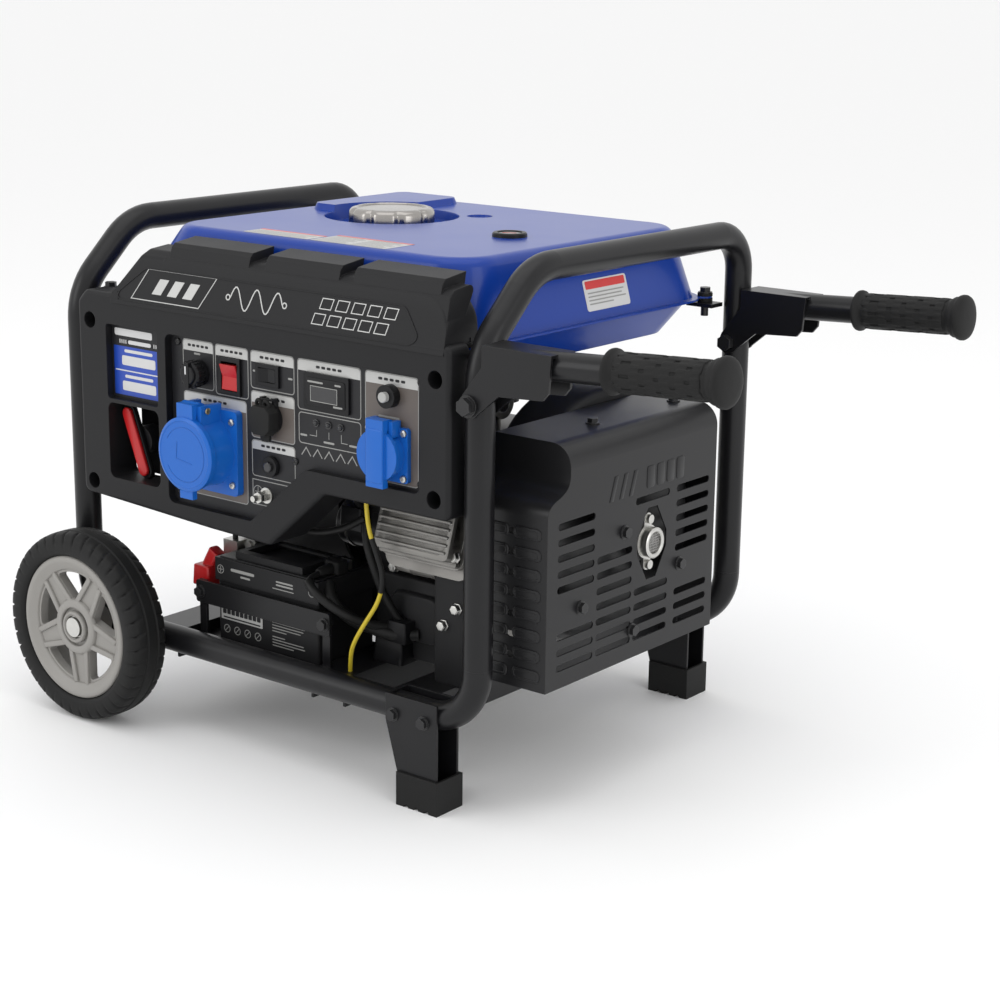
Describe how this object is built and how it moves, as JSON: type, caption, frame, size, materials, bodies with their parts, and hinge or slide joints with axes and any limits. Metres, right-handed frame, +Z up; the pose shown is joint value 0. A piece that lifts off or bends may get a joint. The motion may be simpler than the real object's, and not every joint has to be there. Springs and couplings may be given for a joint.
{
  "type": "inverter generator",
  "caption": "Open-frame petrol inverter generator with tank, control panel, battery, slotted muffler guard, wheels and fold-down lifting handles.",
  "frame": {"origin": "middle of the overall footprint, on the ground", "axes": "+X towards the muffler and the lifting handles, -Y towards the control panel, +Z up"},
  "size_m": [0.8648, 0.56, 0.534],
  "materials": {
    "black_paint": "satin powder coat",
    "rubber_feet": "matt",
    "tyre": "matt",
    "rim_plastic": "moulded",
    "grip_rubber": "matt",
    "zinc_steel": "zinc plated",
    "black_bolts": "blackened",
    "housing_plastic": "fine texture",
    "plate": "printed",
    "device_plastic": "smooth",
    "lamp": "clear",
    "red_plastic": "moulded",
    "button_plastic": "moulded",
    "socket_blue": "moulded",
    "cover_rubber": "soft",
    "plated_stud": "zinc plated",
    "tank_blue": "gloss paint",
    "chrome": "polished",
    "cast_alloy": "as cast",
    "engine_black": "moulded",
    "steel_dark": "machined",
    "copper_stator": "wound",
    "guard_black": "satin",
    "muffler_steel": "bare",
    "battery_plastic": "moulded",
    "terminal": "plated",
    "cable": "insulation",
    "earth_insulation": "insulation"
  },
  "bodies": {
    "frame": {"frame_rails": "black_paint", "frame_hoops": "black_paint", "base_members": "black_paint", "legs": "black_paint", "battery_clamp": "black_paint", "foot_caps": "rubber_feet", "axle_bolts": "zinc_steel", "panel_screws": "zinc_steel", "frame_bolts": "black_bolts", "panel_housing": "housing_plastic", "control_plate": "plate", "display_module": "device_plastic", "switch_bodies": "device_plastic", "low_voltage_outlet": "device_plastic", "recoil_housing": "device_plastic", "status_lamps": "lamp", "big_socket": "socket_blue", "small_socket": "socket_blue", "rubber_mounts": "cover_rubber", "spark_plug": "cover_rubber", "earth_terminal": "plated_stud", "fuel_tank": "tank_blue", "crankcase": "cast_alloy", "cylinder_head": "cast_alloy", "carburettor": "cast_alloy", "inverter_module": "cast_alloy", "valve_cover": "engine_black", "starter_motor": "engine_black", "air_cleaner": "engine_black", "fan_shroud": "engine_black", "stator": "copper_stator", "muffler_guard": "guard_black", "muffler": "muffler_steel", "spark_arrestor": "muffler_steel", "battery_case": "battery_plastic", "battery_terminals": "terminal", "battery_leads": "cable", "fuel_hose": "cable", "earth_wire": "earth_insulation"},
    "wheel_front": {"tyre_front": "tyre", "rim_front": "rim_plastic"},
    "wheel_back": {"tyre_back": "tyre", "rim_back": "rim_plastic"},
    "handle_front": {"handle_front": "black_paint", "grip_front": "grip_rubber"},
    "handle_back": {"handle_back": "black_paint", "grip_back": "grip_rubber"},
    "fuel_cap": {"fuel_cap": "chrome"},
    "battery_handle": {"battery_handle": "battery_plastic"},
    "big_socket_lid": {"big_socket_lid": "socket_blue"},
    "small_socket_lid": {"small_socket_lid": "socket_blue"},
    "engine_rocker": {"engine_rocker": "red_plastic"},
    "eco_rocker": {"eco_rocker": "device_plastic"},
    "fuel_knob": {"fuel_knob": "device_plastic"},
    "breaker_button": {"breaker_button": "button_plastic"},
    "reset_button": {"reset_button": "button_plastic"},
    "recoil_grip": {"recoil_grip": "red_plastic"},
    "outlet_cover": {"outlet_cover": "cover_rubber"},
    "rotor": {"crankshaft": "steel_dark", "flywheel_rotor": "steel_dark"}
  },
  "joints": [
    {"name": "wheel_front_spin", "type": "hinge", "parent": "frame", "child": "wheel_front", "pos_m": [-0.33045, -0.257, 0.102], "axis": [0, 1, 0], "continuous": true},
    {"name": "wheel_back_spin", "type": "hinge", "parent": "frame", "child": "wheel_back", "pos_m": [-0.33045, 0.257, 0.102], "axis": [0, 1, 0], "continuous": true},
    {"name": "handle_front_fold", "type": "hinge", "parent": "frame", "child": "handle_front", "pos_m": [0.16755, -0.214, 0.404], "axis": [0, 1, 0], "range_deg": [0, 90]},
    {"name": "handle_back_fold", "type": "hinge", "parent": "frame", "child": "handle_back", "pos_m": [0.16755, 0.214, 0.404], "axis": [0, 1, 0], "range_deg": [0, 90]},
    {"name": "fuel_cap_twist", "type": "hinge", "parent": "frame", "child": "fuel_cap", "pos_m": [-0.15245, 0.03, 0.52], "axis": [0, 0, 1], "range_deg": [0, 90]},
    {"name": "battery_handle_lift", "type": "hinge", "parent": "frame", "child": "battery_handle", "pos_m": [-0.13445, -0.126, 0.189], "axis": [-1, 0, 0], "range_deg": [0, 90]},
    {"name": "big_socket_lid_hinge", "type": "hinge", "parent": "frame", "child": "big_socket_lid", "pos_m": [-0.16245, -0.256, 0.359], "axis": [-1, 0, 0], "range_deg": [0, 100], "stiffness_Nm_per_rad": 0.03, "springref_deg": -28.65},
    {"name": "small_socket_lid_hinge", "type": "hinge", "parent": "frame", "child": "small_socket_lid", "pos_m": [0.07055, -0.238, 0.375], "axis": [-1, 0, 0], "range_deg": [0, 95], "stiffness_Nm_per_rad": 0.02, "springref_deg": -28.65},
    {"name": "outlet_cover_hinge", "type": "hinge", "parent": "frame", "child": "outlet_cover", "pos_m": [-0.08245, -0.232, 0.375], "axis": [-1, 0, 0], "range_deg": [0, 95], "stiffness_Nm_per_rad": 0.008, "springref_deg": -28.65},
    {"name": "engine_rocker_tip", "type": "hinge", "parent": "frame", "child": "engine_rocker", "pos_m": [-0.13745, -0.224, 0.39], "axis": [-1, 0, 0], "range_deg": [0, 14]},
    {"name": "eco_rocker_tip", "type": "hinge", "parent": "frame", "child": "eco_rocker", "pos_m": [-0.08545, -0.224, 0.398], "axis": [0, 0, -1], "range_deg": [0, 14]},
    {"name": "fuel_knob_turn", "type": "hinge", "parent": "frame", "child": "fuel_knob", "pos_m": [-0.18045, -0.235, 0.388], "axis": [0, -1, 0], "range_deg": [0, 90]},
    {"name": "breaker_button_press", "type": "slide", "parent": "frame", "child": "breaker_button", "axis": [0, 1, 0], "range_m": [0, 0.003], "stiffness_N_per_m": 400, "springref_m": -0.002},
    {"name": "reset_button_press", "type": "slide", "parent": "frame", "child": "reset_button", "axis": [0, 1, 0], "range_m": [0, 0.0025], "stiffness_N_per_m": 400, "springref_m": -0.002},
    {"name": "recoil_pull", "type": "slide", "parent": "frame", "child": "recoil_grip", "axis": [0, -1, 0], "range_m": [0, 0.8], "stiffness_N_per_m": 20, "springref_m": -0.6},
    {"name": "rotor_spin", "type": "hinge", "parent": "frame", "child": "rotor", "pos_m": [-0.10245, 0.02, 0.24], "axis": [1, 0, 0], "continuous": true}
  ]
}
